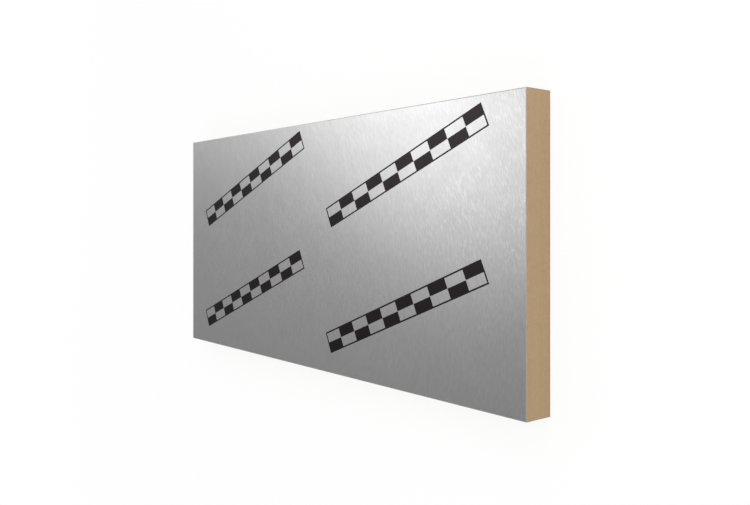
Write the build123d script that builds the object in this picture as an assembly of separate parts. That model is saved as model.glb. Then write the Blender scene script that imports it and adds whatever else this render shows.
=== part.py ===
"""Rigid foam insulation board, foil faced on both sides, lying flat.

The board is a laminate of three pieces that are bonded over their whole area: a slab of closed-cell foam, and a thin
web of composite foil on each of its two large faces. The foam rises and sets between the webs, which are its mould.
A saw then squares the board to its sold size through foam and webs together, so all three share one outline, the
webs end flush, and the foam shows bare on the four narrow sides.

Millimetres. The origin is the middle of the underside, +X runs along the length, +Y across the width, and +Z up
through the thickness.
"""

from build123d import *
import os

# The sold size of the board, with its facers on
board_length = 2400.0
board_width = 1200.0
board_thickness = 140.0

# The web of foil, paper and foil on each large face
facer_thickness = 0.2

# The heights at which the foam begins and ends, which are the bond lines of the two webs
foam_underside = facer_thickness
foam_top = board_thickness - facer_thickness


def squared_layer(underside, top):
    """One layer of the laminate: the plan that the saw cuts, raised from its underside to its top."""
    plan = Plane.XY.offset(underside) * Rectangle(board_length, board_width)
    return extrude(plan, amount=top - underside)


def bottom_foil_facer():
    """The web under the foam, on which the board lies."""
    return squared_layer(0, foam_underside)


def foam_core():
    """The slab of rigid foam, which fills the space between the webs and shows on the four cut sides."""
    return squared_layer(foam_underside, foam_top)


def top_foil_facer():
    """The web over the foam, the large face that is seen."""
    return squared_layer(foam_top, board_thickness)


layers = {
    "bottom_foil_facer": bottom_foil_facer(),
    "foam_core": foam_core(),
    "top_foil_facer": top_foil_facer(),
}

os.makedirs("parts", exist_ok=True)
for name, layer in layers.items():
    export_step(layer, f"parts/{name}.step")
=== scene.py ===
# %% [markdown]
# A foil faced insulation board, dressed round its solids
# The board is a slab of rigid foam between two webs of composite foil, one of them printed, and it lies
# flat on a studio floor. The solids already give its size and its three layers. This notebook adds what
# makes it look real: the small creases of the foil, the grain of the sawn foam, the print, the light and
# the camera.

# %% Open the frame
import math

import bpy
import numpy as np
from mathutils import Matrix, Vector


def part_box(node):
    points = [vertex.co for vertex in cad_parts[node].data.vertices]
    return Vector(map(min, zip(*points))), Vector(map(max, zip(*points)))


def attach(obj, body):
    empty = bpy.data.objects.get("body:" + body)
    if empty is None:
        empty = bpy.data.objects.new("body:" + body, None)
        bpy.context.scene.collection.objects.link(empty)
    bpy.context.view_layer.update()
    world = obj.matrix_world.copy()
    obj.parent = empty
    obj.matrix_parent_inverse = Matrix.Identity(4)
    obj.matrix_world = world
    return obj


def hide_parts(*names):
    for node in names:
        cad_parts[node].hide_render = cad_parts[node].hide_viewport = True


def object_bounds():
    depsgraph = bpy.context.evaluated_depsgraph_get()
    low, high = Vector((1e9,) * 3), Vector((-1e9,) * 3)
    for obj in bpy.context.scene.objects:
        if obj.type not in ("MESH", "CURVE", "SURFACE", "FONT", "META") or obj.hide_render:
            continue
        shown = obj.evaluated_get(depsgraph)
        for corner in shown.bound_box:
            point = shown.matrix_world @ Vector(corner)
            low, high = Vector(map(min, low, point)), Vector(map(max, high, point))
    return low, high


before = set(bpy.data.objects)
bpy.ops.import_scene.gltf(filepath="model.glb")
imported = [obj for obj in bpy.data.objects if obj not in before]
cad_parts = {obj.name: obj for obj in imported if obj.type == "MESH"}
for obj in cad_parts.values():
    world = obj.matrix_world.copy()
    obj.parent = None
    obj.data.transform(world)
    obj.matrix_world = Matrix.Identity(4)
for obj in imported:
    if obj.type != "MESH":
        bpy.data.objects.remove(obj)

mm = 0.001
cad_low, cad_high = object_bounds()
board_length, board_width, board_thickness = cad_high - cad_low
lower_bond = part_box("foam_core")[0].z
upper_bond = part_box("foam_core")[1].z
print("board", [round(side / mm, 1) for side in (board_length, board_width, board_thickness)], "mm")
print("foam from", round(lower_bond / mm, 2), "to", round(upper_bond / mm, 2), "mm above the floor")

# %% [markdown]
# The camera
# The picture shows the printed face with the board's width upright, seen from beyond one end. A camera
# that hangs over a board lying flat sees the same thing. It starts by looking straight down, with +Y at
# the top of the picture, and one turn about Y swings it out past the +X end. The picture isn't centred on
# the line of sight, and a lens shift does that without bending the outline.

# %% Hang the camera over the near end
camera_place = Vector((2.903, 0.123, 2.472))
swing_from_plumb = math.radians(55.15)
lens_length = 36.68
lens_shift = (0.149, -0.043)

camera_data = bpy.data.cameras.new("camera")
camera_data.lens = lens_length
camera_data.shift_x, camera_data.shift_y = lens_shift
camera = bpy.data.objects.new("camera", camera_data)
camera.location = camera_place
camera.rotation_euler = (0, swing_from_plumb, 0)
bpy.context.scene.collection.objects.link(camera)
bpy.context.scene.camera = camera
bpy.context.scene.view_settings.view_transform = "Standard"
print("camera", round(camera_place.length, 2), "m from the board's middle")

# %% [markdown]
# A few words for writing node trees
# Shader nodes are easier to read as sums than as boxes and wires. Each helper makes one node, joins or
# sets its inputs in order, and hands back the output, so that a finish can be written from the inside
# out.

# %% Node helpers
plain_white = 1.0


def feed(tree, socket, term):
    """Joins an output to an input, or sets the input to a plain value."""
    if isinstance(term, bpy.types.NodeSocket):
        tree.links.new(term, socket)
    else:
        socket.default_value = term


def calc(tree, operation, *terms):
    """One sum on numbers, such as ADD, MULTIPLY or FLOOR."""
    node = tree.nodes.new("ShaderNodeMath")
    node.operation = operation
    for socket, term in zip(node.inputs, terms):
        feed(tree, socket, term)
    return node.outputs[0]


def vector_calc(tree, operation, *terms):
    """One sum on vectors. A dot product or a length comes back as a number, and the rest as vectors."""
    node = tree.nodes.new("ShaderNodeVectorMath")
    node.operation = operation
    for socket, term in zip(node.inputs, terms):
        feed(tree, socket, term)
    return node.outputs["Value" if operation in ("DOT_PRODUCT", "LENGTH") else "Vector"]


def fade(tree, value, start, end, first=0.0, last=1.0):
    """A smooth step: first up to start, last from end, and an S-shaped rise between them."""
    node = tree.nodes.new("ShaderNodeMapRange")
    node.interpolation_type = "SMOOTHSTEP"
    for socket, term in zip(node.inputs, (value, start, end, first, last)):
        feed(tree, socket, term)
    return node.outputs["Result"]


def blend_colours(tree, share, one, other):
    """one where share is 0, other where it is 1."""
    node = tree.nodes.new("ShaderNodeMix")
    node.data_type = "RGBA"
    feed(tree, node.inputs["Factor"], share)
    feed(tree, node.inputs[6], one)
    feed(tree, node.inputs[7], other)
    return node.outputs[2]


def place(tree, centre=(0, 0, 0)):
    """The point on the piece in metres, counted from centre."""
    return vector_calc(tree, "SUBTRACT", tree.nodes.new("ShaderNodeTexCoord").outputs["Object"], centre)


def split_axes(tree, vector):
    """A vector's x, y and z, as three numbers."""
    node = tree.nodes.new("ShaderNodeSeparateXYZ")
    feed(tree, node.inputs[0], vector)
    return node.outputs


def cloud(tree, where, per_metre, detail=2.0, roughness=0.5):
    """Soft noise from 0 to 1, with per_metre blots to the metre."""
    node = tree.nodes.new("ShaderNodeTexNoise")
    feed(tree, node.inputs["Vector"], where)
    node.inputs["Scale"].default_value = per_metre
    node.inputs["Detail"].default_value = detail
    node.inputs["Roughness"].default_value = roughness
    return node.outputs["Fac"]


def bump(tree, height, depth):
    """Tilts the surface as a relief of that height, 0 to 1, times depth in metres would."""
    node = tree.nodes.new("ShaderNodeBump")
    node.inputs["Distance"].default_value = depth
    feed(tree, node.inputs["Height"], height)
    return node.outputs["Normal"]


def white_glow(tree, kind, strength):
    """A white emission or background. A strength of plain_white shows as white in the picture."""
    node = tree.nodes.new(kind)
    node.inputs["Color"].default_value = (1, 1, 1, 1)
    feed(tree, node.inputs["Strength"], strength)
    return node.outputs[0]


def mix_shaders(tree, share, one, other):
    """One shader where share is 0, the other where it is 1."""
    node = tree.nodes.new("ShaderNodeMixShader")
    for socket, term in zip(node.inputs, (share, one, other)):
        feed(tree, socket, term)
    return node.outputs[0]


def empty_material(name):
    """A material with its nodes cleared, and its output node."""
    material = bpy.data.materials.new(name)
    material.use_nodes = True
    material.node_tree.nodes.clear()
    return material, material.node_tree, material.node_tree.nodes.new("ShaderNodeOutputMaterial")


# %% [markdown]
# The floor
# The board is seen against nothing but white. A sheet of white card runs under it in every direction.
# Where the camera looks at the card, most of what it sees is plain white, and the rest is the card as it
# is lit, so a soft shadow stays. Further out the card is plain white alone, and that hides where it meets
# the white backdrop.

# %% Lay the white card
card_size = 60.0
card_white = (0.92, 0.92, 0.92, 1)
white_beside_board = 0.86
open_floor_starts, open_floor_ends = 1.5, 5.0

card_mesh = bpy.data.meshes.new("white_card")
card_corners = np.array([(-1, -1, 0), (1, -1, 0), (1, 1, 0), (-1, 1, 0)]) * card_size / 2
card_mesh.from_pydata(card_corners.tolist(), [], [(0, 1, 2, 3)])
white_card = bpy.data.objects.new("white_card", card_mesh)
bpy.context.scene.collection.objects.link(white_card)

card_material, tree, output = empty_material("white_card")
ray = tree.nodes.new("ShaderNodeLightPath")
card_diffuse = tree.nodes.new("ShaderNodeBsdfDiffuse")
card_diffuse.inputs["Color"].default_value = card_white
mirrored = calc(tree, "MAXIMUM", ray.outputs["Is Glossy Ray"], ray.outputs["Is Transmission Ray"])
seen = calc(tree, "MAXIMUM", ray.outputs["Is Camera Ray"], mirrored)
from_middle = vector_calc(tree, "LENGTH", place(tree))
plain_share = fade(tree, from_middle, open_floor_starts, open_floor_ends, white_beside_board, 1.0)
card_glow = white_glow(tree, "ShaderNodeEmission", plain_white)
shown = calc(tree, "MULTIPLY", seen, plain_share)
feed(tree, output.inputs["Surface"], mix_shaders(tree, shown, card_diffuse.outputs[0], card_glow))
card_mesh.materials.append(card_material)
print("card", card_size, "m wide")

# %% [markdown]
# The room
# Bare foil has hardly a colour of its own: it shows the room. This one is a mid grey at eye level and
# brighter overhead, so that foil keeps its grey from any side. Beyond the board's far end, where the face
# mirrors it to the camera, hangs a wide dark panel, a little lighter towards +Y, and in front of it a
# soft lamp and a small dim window. So the face runs from bright to mid grey. Two more dim windows light
# other sides. All of it is painted in the world shader, as a glow that depends on the direction alone. The
# camera itself sees plain white behind everything.

# %% Windows of light and shade
least_ahead = 0.001


def window_axes(azimuth, height, roll):
    """The direction to a window's middle, with its azimuth from -X towards +Y, and its two sides turned by
    roll."""
    azimuth, height, roll = (math.radians(angle) for angle in (azimuth, height, roll))
    plan = (-math.cos(azimuth), math.sin(azimuth))
    towards = np.array((math.cos(height) * plan[0], math.cos(height) * plan[1], math.sin(height)))
    level = np.cross((0, 0, 1), towards)
    level /= np.linalg.norm(level)
    upright = np.cross(towards, level)
    across = math.cos(roll) * level + math.sin(roll) * upright
    return towards, across, np.cross(towards, across)


def soft_window(tree, direction, azimuth, height, roll, half_size, softness):
    """1 in a window of that half size at unit distance, falling smoothly to 0 from (1 - softness) of the
    half size to (1 + softness) of it. Angles are in degrees. least_ahead keeps the sums finite behind it."""
    towards, across, upwards = window_axes(azimuth, height, roll)
    ahead = calc(tree, "MAXIMUM", vector_calc(tree, "DOT_PRODUCT", direction, tuple(towards)), least_ahead)
    share = 1.0
    for axis, half in zip((across, upwards), half_size):
        aside = calc(tree, "DIVIDE", vector_calc(tree, "DOT_PRODUCT", direction, tuple(axis)), ahead)
        edge = half * (1 - softness), half * (1 + softness)
        share = calc(tree, "MULTIPLY", share, fade(tree, calc(tree, "ABSOLUTE", aside), *edge, 1.0, 0.0))
    return share


# %% Paint the room
room_low, room_high = 0.42, 0.85
room_brightens = (0.15, 0.85)
panel_glow, panel_rise_to_y = 0.300, 0.28
panel_foot, panel_foot_fades = 0.85, (0.30, 0.60)
# A window is its azimuth, height and roll in degrees, its half size and its softness
panel_window = (0, 40, 0, (1.6, 1.6), 0.45)
# Each of these is a strength and a window
lamp_windows = {
    "far lamp": (1.08, (16.5, 44, -36.5, (0.134, 0.225), 0.8)),
    "far left window": (0.22, (8.5, 29, 0, (0.055, 0.06), 0.8)),
    "right window": (0.36, (60, 30, 0, (0.16, 0.45), 0.8)),
    "back window": (0.26, (-125, 20, 0, (0.20, 0.45), 0.8)),
}

world = bpy.data.worlds.new("studio")
bpy.context.scene.world = world
world.use_nodes = True
tree = world.node_tree
tree.nodes.clear()
direction = tree.nodes.new("ShaderNodeTexCoord").outputs["Generated"]
sideways = vector_calc(tree, "DOT_PRODUCT", direction, (0, 1, 0))
upwards = vector_calc(tree, "DOT_PRODUCT", direction, (0, 0, 1))
room_light = fade(tree, upwards, *room_brightens, room_low, room_high)
foot = fade(tree, upwards, *panel_foot_fades, panel_foot, 1.0)
panel_light = calc(tree, "MULTIPLY", calc(tree, "MULTIPLY_ADD", sideways, panel_rise_to_y, panel_glow), foot)
panel = soft_window(tree, direction, *panel_window)
glow = calc(tree, "MULTIPLY_ADD", panel, calc(tree, "SUBTRACT", panel_light, room_light), room_light)
for strength, window in lamp_windows.values():
    glow = calc(tree, "MULTIPLY_ADD", soft_window(tree, direction, *window), strength, glow)

room = white_glow(tree, "ShaderNodeBackground", glow)
backdrop = white_glow(tree, "ShaderNodeBackground", plain_white)
to_camera = tree.nodes.new("ShaderNodeLightPath").outputs["Is Camera Ray"]
surroundings = mix_shaders(tree, to_camera, room, backdrop)
feed(tree, tree.nodes.new("ShaderNodeOutputWorld").inputs["Surface"], surroundings)
print("room from", room_low, "to", room_high, "with", ", ".join(lamp_windows))

# %% [markdown]
# The lamps
# Four large soft lamps light the foam and the card. The near one makes the end of the board a little
# brighter towards +Y, as in the photograph. The other three keep the other sides from going dark. The
# foil doesn't mirror them: its reflections are all painted in the room, where none is so bright that the
# foil burns out.

# %% Hang four large soft lamps
# Each has its place, the side of its square in metres and its power in watts
soft_lamps = {
    "near_lamp": (Vector((3.3, 2.2, 3.5)), 4.6, 95.5),
    "side_lamp": (Vector((1.15, -4.3, 3.4)), 4.4, 88.0),
    "back_lamp": (Vector((0.7, 5.0, 3.0)), 4.4, 80.0),
    "end_lamp": (Vector((-4.9, 0.4, 3.0)), 4.4, 62.0),
}
for name, (lamp_place, size, power) in soft_lamps.items():
    lamp_data = bpy.data.lights.new(name, "AREA")
    lamp_data.shape = "SQUARE"
    lamp_data.size = size
    lamp_data.energy = power
    lamp = bpy.data.objects.new(name, lamp_data)
    lamp.location = lamp_place
    lamp.rotation_mode = "QUATERNION"
    lamp.rotation_quaternion = (-lamp_place).to_track_quat("-Z", "Y")
    lamp.visible_camera = lamp.visible_glossy = False
    bpy.context.scene.collection.objects.link(lamp)
    print(name, round(lamp_place.length, 2), "m away, glows", round(power / (math.pi * size**2), 2))

# %% [markdown]
# Relief from filtered noise
# A foil web that is stuck to rising foam is never quite flat. It is covered with shallow dimples a
# centimetre or two across and longer one way than the other. Noise makes them: white noise is random at
# every size, and multiplying its spectrum by an oval bell keeps only blots that are as wide and as long as
# the bell says. One pair of Fourier transforms does a whole face at once.

# %% Oval noise
def oval_noise(shape, cell, across, along, slant, seed):
    """Smooth noise on a grid, with a mean of 0 and a spread of 1. Its spectrum is white noise times
    exp(-((across p)^2 + (along q)^2) / 2), where p and q are the wave numbers across and along a line that
    is turned by slant from the columns' direction, Y."""
    rows, columns = shape
    rng = np.random.default_rng(seed)
    spectrum = np.fft.rfft2(rng.standard_normal(shape))
    wave_y = 2 * np.pi * np.fft.fftfreq(rows, cell[1])[:, None]
    wave_x = 2 * np.pi * np.fft.rfftfreq(columns, cell[0])[None, :]
    p = wave_x * np.cos(slant) + wave_y * np.sin(slant)
    q = -wave_x * np.sin(slant) + wave_y * np.cos(slant)
    bell = np.exp(-((across * p) ** 2 + (along * q) ** 2) / 2)
    noise = np.fft.irfft2(spectrum * bell, s=shape)
    return (noise - noise.mean()) / noise.std()


def smooth_step(value):
    """3t^2 - 2t^3, with t held from 0 to 1."""
    t = np.clip(value, 0, 1)
    return t * t * (3 - 2 * t)


def squeezed(noise, steepness):
    """(1 + tanh(steepness noise)) / 2, which keeps any noise within 0 to 1."""
    return 0.5 + 0.5 * np.tanh(steepness * noise)


# %% [markdown]
# The foil webs
# Each web is 0.2 mm of foil and paper. Its outer face is a height over a grid of the board's plan: waves
# as wide as a hand, small dimples on them, level near the saw cut, and turned down a little over the last
# two millimetres, because the saw drags the web's edge with it. All of it stays within the web's
# thickness. Its inner face is the flat bond line. Cells are longer along the width, because the dimples
# are, and that keeps the web under its limit of triangles.

# %% Grid and relief of a web
web_columns, web_rows = 600, 154
dimple_size, dimple_slant = (5.0 * mm, 11.0 * mm), math.radians(8)
dimple_depth = 0.035 * mm
wave_size, wave_slant = (20 * mm, 45 * mm), math.radians(16)
wave_depth = 0.11 * mm
relief_steepness = 0.7
flat_rim = 8 * mm
turned_rim = 2.2 * mm
turned_depth = 0.12 * mm
web_cell = (board_length / web_columns, board_width / web_rows)


def web_lines(low, high, cells):
    """Evenly spaced lines from low to high, but the first and last cells are only as wide as the turned
    rim."""
    return np.concatenate([[low], np.linspace(low + turned_rim, high - turned_rim, cells - 1), [high]])


web_x = web_lines(cad_low.x, cad_high.x, web_columns)
web_y = web_lines(cad_low.y, cad_high.y, web_rows)


def web_relief(seed):
    """Depth below the outer face. Waves and dimples are each squeezed and scaled to their depth. They fade
    out over flat_rim towards the cut edges, and the outermost line is turned down."""
    shape = (web_rows + 1, web_columns + 1)
    dimples = oval_noise(shape, web_cell, *dimple_size, dimple_slant, seed)
    waves = oval_noise(shape, web_cell, *wave_size, wave_slant, seed + 1)
    layers = (dimple_depth, dimples), (wave_depth, waves)
    depth = sum(most * squeezed(noise, relief_steepness) for most, noise in layers)
    to_end, to_side = board_length / 2 - np.abs(web_x), board_width / 2 - np.abs(web_y)
    to_edge = np.minimum(to_end[None, :], to_side[:, None])
    return np.where(to_edge < turned_rim / 2, turned_depth, depth * smooth_step(to_edge / flat_rim))


print("web grid", web_columns, "by", web_rows, "cells of", [round(side / mm, 2) for side in web_cell], "mm")

# %% Close a web round its bond line
arris_angle = math.radians(40)


def mesh_piece(name, points, faces):
    """A mesh object at the origin, from an array of points and a list of arrays of faces, one row to a
    face. It is shaded smooth, apart from edges that turn by more than arris_angle."""
    mesh = bpy.data.meshes.new(name)
    corners = np.concatenate([rows.ravel() for rows in faces])
    sizes = np.concatenate([np.full(len(rows), rows.shape[1]) for rows in faces])
    mesh.vertices.add(len(points))
    mesh.vertices.foreach_set("co", points.astype(np.float32).ravel())
    mesh.loops.add(len(corners))
    mesh.loops.foreach_set("vertex_index", corners.astype(np.int32))
    mesh.polygons.add(len(sizes))
    mesh.polygons.foreach_set("loop_start", np.concatenate([[0], np.cumsum(sizes)[:-1]]).astype(np.int32))
    mesh.update(calc_edges=True)
    mesh.shade_smooth()
    mesh.set_sharp_from_angle(angle=arris_angle)
    piece = bpy.data.objects.new(name, mesh)
    bpy.context.scene.collection.objects.link(piece)
    print(name, len(points), "points,", int((sizes - 2).sum()), "triangles")
    return piece


def grid_quads(rows, columns):
    """The four corners of each cell of a grid of points that is numbered row by row, anticlockwise from
    above."""
    first = (np.arange(rows)[:, None] * (columns + 1) + np.arange(columns)[None, :]).ravel()
    return np.stack([first, first + 1, first + columns + 2, first + columns + 1], 1)


def rim_of(rows, columns):
    """The numbers of a grid's outermost points, anticlockwise from above."""
    index = np.arange((rows + 1) * (columns + 1)).reshape(rows + 1, columns + 1)
    return np.concatenate([index[0, :-1], index[:-1, -1], index[-1, :0:-1], index[:0:-1, 0]])


def web_piece(name, outer_level, bond_level, relief):
    """The outer face's grid, a narrow wall down to the bond line, and a fan from the bond line's middle."""
    inward = math.copysign(1.0, bond_level - outer_level)
    x, y = np.meshgrid(web_x, web_y)
    outer = np.stack([x, y, outer_level + inward * relief], -1).reshape(-1, 3)
    rim = rim_of(web_rows, web_columns)
    below = outer[rim].copy()
    below[:, 2] = bond_level
    points = np.concatenate([outer, below, [[0, 0, bond_level]]])
    first_below, middle = len(outer), len(points) - 1
    under = first_below + np.arange(len(rim))
    after, under_after = np.roll(rim, -1), np.roll(under, -1)
    face = grid_quads(web_rows, web_columns)
    wall = np.stack([rim, under, under_after, after], 1)
    fan = np.stack([np.full(len(rim), middle), under_after, under], 1)
    faces = [face, wall, fan]
    if inward > 0:
        faces = [rows[:, ::-1] for rows in faces]
    return mesh_piece(name, points, faces)


printed_web = web_piece("printed_foil_web", cad_high.z, upper_bond, web_relief(seed=11))
plain_web = web_piece("plain_foil_web", cad_low.z, lower_bond, web_relief(seed=23))

# %% [markdown]
# The sawn foam
# The saw leaves the four narrow sides straight, with a skin of cut cells: a soft mottle, and here and
# there a bubble that was cut open. The sides are one surface, a straight upright line carried round the
# board's outline, so the noise that dents it also runs round the corners without a seam.

# %% Carry an upright line round the outline
foam_cell = 4 * mm
foam_rows = 50
mottle_size = 5 * mm
mottle_depth = 0.10 * mm
mottle_steepness = 1.0
bubble_size = 3 * mm
bubble_depth = 0.7 * mm
bubble_rarity = 2.9
crisp_arris = 6 * mm


def outline():
    """Points and outward directions round the board's plan, evenly spaced and anticlockwise from above."""
    (left, front), (right, back) = cad_low.xy, cad_high.xy
    corners = np.array([(left, front), (right, front), (right, back), (left, back)])
    points, outwards, clearances = [], [], []
    for start, end in zip(corners, np.roll(corners, -1, axis=0)):
        side = np.linalg.norm(end - start)
        steps = round(side / foam_cell)
        t = np.arange(steps) / steps
        points.append(start + t[:, None] * (end - start))
        outwards.append(np.repeat([[(end - start)[1], -(end - start)[0]] / side], steps, axis=0))
        clearances.append(np.minimum(t, 1 - t) * side)
    return np.concatenate(points), np.concatenate(outwards), np.concatenate(clearances)


def sawn_relief(shape, cell, to_corner, to_bond, seed):
    """Depth of the cut face: a soft mottle, plus bubbles where a finer noise passes bubble_rarity. Both
    fade out over crisp_arris towards the corners and the bond lines."""
    mottle = squeezed(oval_noise(shape, cell, mottle_size, mottle_size, 0.0, seed), mottle_steepness)
    bubbles = smooth_step(oval_noise(shape, cell, bubble_size, bubble_size, 0.0, seed + 1) - bubble_rarity)
    kept = smooth_step(to_corner / crisp_arris)[None, :] * smooth_step(to_bond / crisp_arris)[:, None]
    return kept * (mottle_depth * mottle + bubble_depth * bubbles)


path, outward, to_corner = outline()
level = np.linspace(lower_bond, upper_bond, foam_rows + 1)
to_bond = np.minimum(level - lower_bond, upper_bond - level)
wall_cell = (foam_cell, level[1] - level[0])
relief = sawn_relief((foam_rows + 1, len(path)), wall_cell, to_corner, to_bond, seed=37)
plan = path[None, :, :] - relief[:, :, None] * outward[None, :, :]
heights = np.broadcast_to(level[:, None, None], relief.shape + (1,))
shell = np.concatenate([plan, heights], -1).reshape(-1, 3)

around = len(path)
first = (np.arange(foam_rows)[:, None] * around + np.arange(around)[None, :]).ravel()
beside = (np.arange(foam_rows)[:, None] * around + np.roll(np.arange(around), -1)[None, :]).ravel()
sides = np.stack([first, beside, beside + around, first + around], 1)
bottom_ring = np.arange(around)
top_ring = foam_rows * around + bottom_ring
bottom_middle, top_middle = len(shell), len(shell) + 1
bottom_fan = np.stack([np.full(around, bottom_middle), np.roll(bottom_ring, -1), bottom_ring], 1)
top_fan = np.stack([np.full(around, top_middle), top_ring, np.roll(top_ring, -1)], 1)
foam_points = np.concatenate([shell, [[0, 0, lower_bond], [0, 0, upper_bond]]])
sawn_foam = mesh_piece("sawn_foam_slab", foam_points, [sides, bottom_fan, top_fan])
print("deepest bubble", round(relief.max() / mm, 2), "mm")

# %% [markdown]
# Bare foil
# The web is aluminium with a satin roll finish, so it is all metal: no colour but a light grey, and a
# roughness low enough to show where the lamp is and high enough to blur its edge. Two sorts of crease are
# finer than the mesh can carry, and about three times as long as they are wide. Faint ones run across the
# web everywhere, where it was pulled over the rising foam. Sharp ones lie between them in patches, deepest
# near the +X end. Both lean towards +X, more and more as y grows, sway a little, and are finer towards the
# +X end. They are bump, and a slight change of grey that is painted light: a painted glint on the crests
# and painted shade in the troughs, for the sparkle of creases finer than a pixel. The saw scuffs the last
# few millimetres, so there the foil is rougher and catches more of the room.

# %% Foil finish
# The crest grey is a painted glint and the trough grey is painted shade, both following the crease relief.
foil_painted_shade, foil_painted_glint = (0.845, 0.845, 0.845, 1), (0.965, 0.965, 0.965, 1)
foil_roughness, haze_spread = 0.24, 0.012
hazes_per_metre = 9.0
noise_fades = (0.3, 0.7)
crease_lean, crease_lean_growth, crease_gather = 0.15, 0.30, 0.20
sway_width, sways_per_metre, sway_detail = 16 * mm, 7.0, 0.0
faint_crease, faint_detail = (10.5 * mm, 32 * mm, 10.5 * mm), 0.2
faint_share, faint_fades = 0.34, (0.30, 0.70)
calm_end, calm_share = (-1.4, 0.9), 0.5
sharp_crease, sharp_detail = (8.5 * mm, 30 * mm, 8.5 * mm), 0.5
sharp_share, sharp_fades = 1.6, (0.46, 0.72)
patch_size, patch_detail = (0.11, 0.16, 0.11), 1.0
patch_fades, dull_patch = (0.38, 0.58), 0.50
lively_end, dull_end = (0.42, 1.1), 0.15
lively_side, dull_side = (-0.22, 0.15), 0.22
worn_side, worn_share = (0.10, 0.50), 0.45
crease_depth = 0.055 * mm
scuffed_rim, scuffed_roughness = 6 * mm, 0.5


def crease_place(tree, x, y, z):
    """The point with x moved by (lean + growth y) y plus up to sway_width of noise, all times (1 + gather
    x). A pattern drawn out along Y then leans further as y grows, sways, and is finer as x grows."""
    sway = cloud(tree, place(tree), sways_per_metre, sway_detail)
    slope = calc(tree, "MULTIPLY_ADD", y, crease_lean_growth, crease_lean)
    moved = calc(tree, "MULTIPLY_ADD", sway, sway_width, calc(tree, "MULTIPLY_ADD", y, slope, x))
    joined = tree.nodes.new("ShaderNodeCombineXYZ")
    for socket, term in zip(joined.inputs, (moved, y, z)):
        feed(tree, socket, term)
    gathered = calc(tree, "MULTIPLY_ADD", x, crease_gather, 1.0)
    return vector_calc(tree, "MULTIPLY", joined.outputs[0], gathered)


def blots(tree, where, size, detail, roughness=0.5):
    """Soft noise from 0 to 1, with blots of that size along X, Y and Z in metres."""
    return cloud(tree, vector_calc(tree, "DIVIDE", where, size), 1.0, detail, roughness)


def foil_parts(tree):
    """What bare foil feeds to the shader. Its relief is faint_share of the faint creases, which are calmer
    towards the far end, plus sharp_share of the sharp ones times their liveliness. That is a patch's own
    times three fades: it is least at the dull end, on the dull side, and again on the worn side. The
    roughness is a haze that rises to scuffed_roughness over the last scuffed_rim before the saw cut."""
    x, y, z = split_axes(tree, place(tree))
    creased = crease_place(tree, x, y, z)
    faint = fade(tree, blots(tree, creased, faint_crease, faint_detail), *faint_fades, 0.0, faint_share)
    faint = calc(tree, "MULTIPLY", faint, fade(tree, x, *calm_end, calm_share, 1.0))
    sharp = fade(tree, blots(tree, creased, sharp_crease, sharp_detail), *sharp_fades, 0.0, sharp_share)
    patches = blots(tree, place(tree), patch_size, patch_detail)
    lively = fade(tree, patches, *patch_fades, dull_patch, 1.0)
    for coordinate, fades, first, last in (
        (x, lively_end, dull_end, 1.0),
        (y, lively_side, dull_side, 1.0),
        (y, worn_side, 1.0, worn_share),
    ):
        lively = calc(tree, "MULTIPLY", lively, fade(tree, coordinate, *fades, first, last))
    relief = calc(tree, "MULTIPLY_ADD", sharp, lively, faint)
    haze = cloud(tree, place(tree), hazes_per_metre)
    rolled = fade(tree, haze, *noise_fades, foil_roughness - haze_spread, foil_roughness + haze_spread)
    to_end = calc(tree, "SUBTRACT", board_length / 2, calc(tree, "ABSOLUTE", x))
    to_side = calc(tree, "SUBTRACT", board_width / 2, calc(tree, "ABSOLUTE", y))
    scuffed = fade(tree, calc(tree, "MINIMUM", to_end, to_side), 0.0, scuffed_rim, 1.0, 0.0)
    return {
        # The grey follows the relief: a painted glint on the crests and painted shade in the troughs.
        "Base Color": blend_colours(tree, relief, foil_painted_shade, foil_painted_glint),
        "Metallic": 1.0,
        "Roughness": calc(tree, "MULTIPLY_ADD", scuffed, scuffed_roughness - foil_roughness, rolled),
        "Normal": bump(tree, relief, crease_depth),
    }


def dress(piece, name, parts):
    """Gives the piece a principled material, whose sockets take what parts makes for them."""
    material, tree, output = empty_material(name)
    shader = tree.nodes.new("ShaderNodeBsdfPrincipled")
    for socket, term in parts(tree).items():
        feed(tree, shader.inputs[socket], term)
    feed(tree, output.inputs["Surface"], shader.outputs[0])
    piece.data.materials.append(material)
    print(piece.name, "wears", name, "made of", len(tree.nodes), "nodes")


dress(plain_web, "bare_foil", foil_parts)

# %% [markdown]
# The printed scale
# The web is printed before it meets the foam, by a roller, so the print repeats at the roller's girth.
# Each mark is a plain measuring bar: two rows of blocks, filled in turn, inside a thin line. A wrap brings
# every repeat to one small cell, a turn lays the mark along X, and floor and modulo pick the filled
# blocks. The saw cuts through no mark. The ink is a thin glaze, so it keeps the foil's shine and only dims
# it, nearly to black with a touch of warmth.

# %% Printed foil finish
print_origin = (-0.006, 0.032)
print_repeat = (1.125, 0.5945)
print_slant = math.radians(23)
mark_length, mark_height = 1.0, 0.10
mark_blocks = 10
mark_line = 7 * mm
ink_black = (0.048, 0.042, 0.044, 1)
ink_roughness = 0.27
bond_clearance = 0.02 * mm
never_wraps = 1.0


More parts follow.
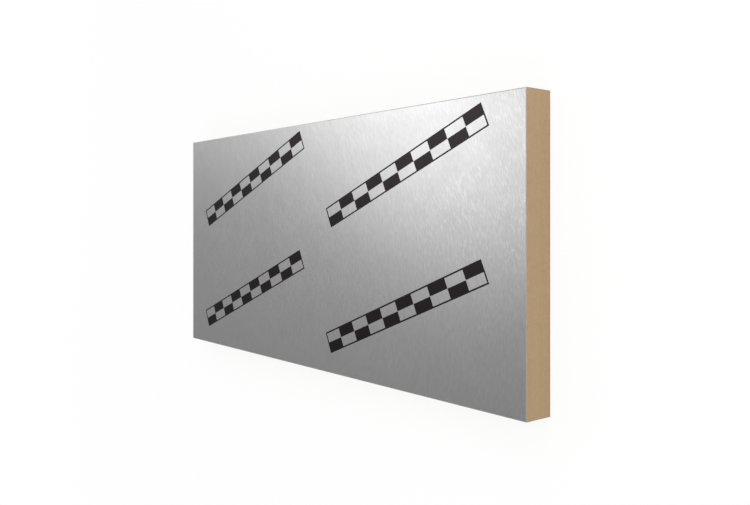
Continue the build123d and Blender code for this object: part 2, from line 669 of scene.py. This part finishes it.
def ink_mask(tree):
    """1 on the ink and 0 on the foil. The web's bonded face, at upper_bond, stays bare. The cell that the
    marks repeat in is never_wraps high each way along Z, where nothing repeats."""
    half = np.array(print_repeat) / 2
    moved = place(tree, centre=(*(np.array(print_origin) + half), 0))
    wrapped = vector_calc(tree, "WRAP", moved, (*half, never_wraps), (*-half, -never_wraps))
    turned = tree.nodes.new("ShaderNodeVectorRotate")
    turned.rotation_type = "Z_AXIS"
    turned.inputs["Angle"].default_value = -print_slant
    feed(tree, turned.inputs["Vector"], wrapped)
    along, up = split_axes(tree, turned.outputs[0])[:2]
    from_end = calc(tree, "SUBTRACT", mark_length / 2, calc(tree, "ABSOLUTE", along))
    from_side = calc(tree, "SUBTRACT", mark_height / 2, calc(tree, "ABSOLUTE", up))
    from_edge = calc(tree, "MINIMUM", from_end, from_side)
    inside = calc(tree, "GREATER_THAN", from_edge, 0.0)
    border = calc(tree, "LESS_THAN", from_edge, mark_line)
    block = calc(tree, "FLOOR", calc(tree, "DIVIDE", along, mark_length / mark_blocks))
    row = calc(tree, "GREATER_THAN", up, 0.0)
    odd = calc(tree, "FLOORED_MODULO", calc(tree, "ADD", block, row), 2.0)
    above_bond = calc(tree, "GREATER_THAN", split_axes(tree, place(tree))[2], upper_bond + bond_clearance)
    printed = calc(tree, "MULTIPLY", inside, calc(tree, "MAXIMUM", border, odd))
    return calc(tree, "MULTIPLY", printed, above_bond)


def printed_parts(tree):
    """The bare foil's parts with ink laid over them."""
    parts = foil_parts(tree)
    ink = ink_mask(tree)
    parts["Base Color"] = blend_colours(tree, ink, parts["Base Color"], ink_black)
    parts["Roughness"] = calc(tree, "MULTIPLY_ADD", ink, ink_roughness - foil_roughness, parts["Roughness"])
    return parts


dress(printed_web, "printed_foil", printed_parts)

# %% [markdown]
# Foam
# The cut foam is a matt tan. Its cells are under a millimetre, so they show as grain, drawn out a little
# level with the webs, because the foam rose between them. Wide faint bands show how it flowed, upright
# scratches show how the saw went, a few cells burst into pinholes, each painted dark as painted shade in
# its hole, and the foam is denser and darker where it set against a web.

# %% Foam finish
foam_tan, foam_dark = (0.455, 0.324, 0.189, 1), (0.402, 0.281, 0.158, 1)
# The pinhole colour is painted shade inside a burst cell.
pinhole_painted_shade = (0.20, 0.13, 0.065, 1)
foam_roughness, foam_shine = 0.85, 0.2
grain_size, grain_share = (14 * mm, 14 * mm, 7.5 * mm), 0.55
band_size, band_share = (450 * mm, 450 * mm, 16 * mm), 0.25
scratch_size, scratch_share = (4 * mm, 4 * mm, 55 * mm), 0.20
foam_detail, foam_harshness = 2.0, 0.6
pinhole_spacing, pinhole_radius = 9 * mm, 1.0 * mm
pinhole_fades = (0.6, 1.2)
skin_depth = 2.5 * mm
cell_size, cell_depth = 0.9 * mm, 0.15 * mm


def voronoi(tree, spacing):
    """The distance to the nearest of many scattered points, as a share of their spacing."""
    cells = tree.nodes.new("ShaderNodeTexVoronoi")
    feed(tree, cells.inputs["Vector"], place(tree))
    cells.inputs["Scale"].default_value = 1 / spacing
    return cells.outputs["Distance"]


def foam_parts(tree):
    """What foam feeds to the shader. Its darkness adds up grain, bands and scratches by their shares. A
    pinhole's painted shade fades out between pinhole_fades of its radius."""
    darkness = 0.0
    for size, share in ((grain_size, grain_share), (band_size, band_share), (scratch_size, scratch_share)):
        layer = fade(tree, blots(tree, place(tree), size, foam_detail, foam_harshness), *noise_fades)
        darkness = calc(tree, "MULTIPLY_ADD", layer, share, darkness)
    z = split_axes(tree, place(tree))[2]
    below, above = calc(tree, "SUBTRACT", z, lower_bond), calc(tree, "SUBTRACT", upper_bond, z)
    skin = fade(tree, calc(tree, "MINIMUM", below, above), 0.0, skin_depth, 1.0, 0.0)
    edges = [share * pinhole_radius / pinhole_spacing for share in pinhole_fades]
    pinholes = fade(tree, voronoi(tree, pinhole_spacing), *edges, 1.0, 0.0)
    colour = blend_colours(tree, calc(tree, "MAXIMUM", darkness, skin), foam_tan, foam_dark)
    return {
        # A pinhole is painted dark, as painted shade inside the hole.
        "Base Color": blend_colours(tree, pinholes, colour, pinhole_painted_shade),
        "Roughness": foam_roughness,
        "Specular IOR Level": foam_shine,
        "Normal": bump(tree, voronoi(tree, cell_size), cell_depth),
    }


dress(sawn_foam, "cut_foam", foam_parts)

# %% [markdown]
# The pieces take the solids' place
# Each piece rides on the root body, and the solid that it stands for is hidden. Each row also names the
# finish slot that the piece matches.

# %% Dress the solids
for piece, node, slot in (
    (printed_web, "top_foil_facer", "foil_facer"),
    (plain_web, "bottom_foil_facer", "foil_facer"),
    (sawn_foam, "foam_core", "foam"),
):
    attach(piece, "root")
    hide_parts(node)
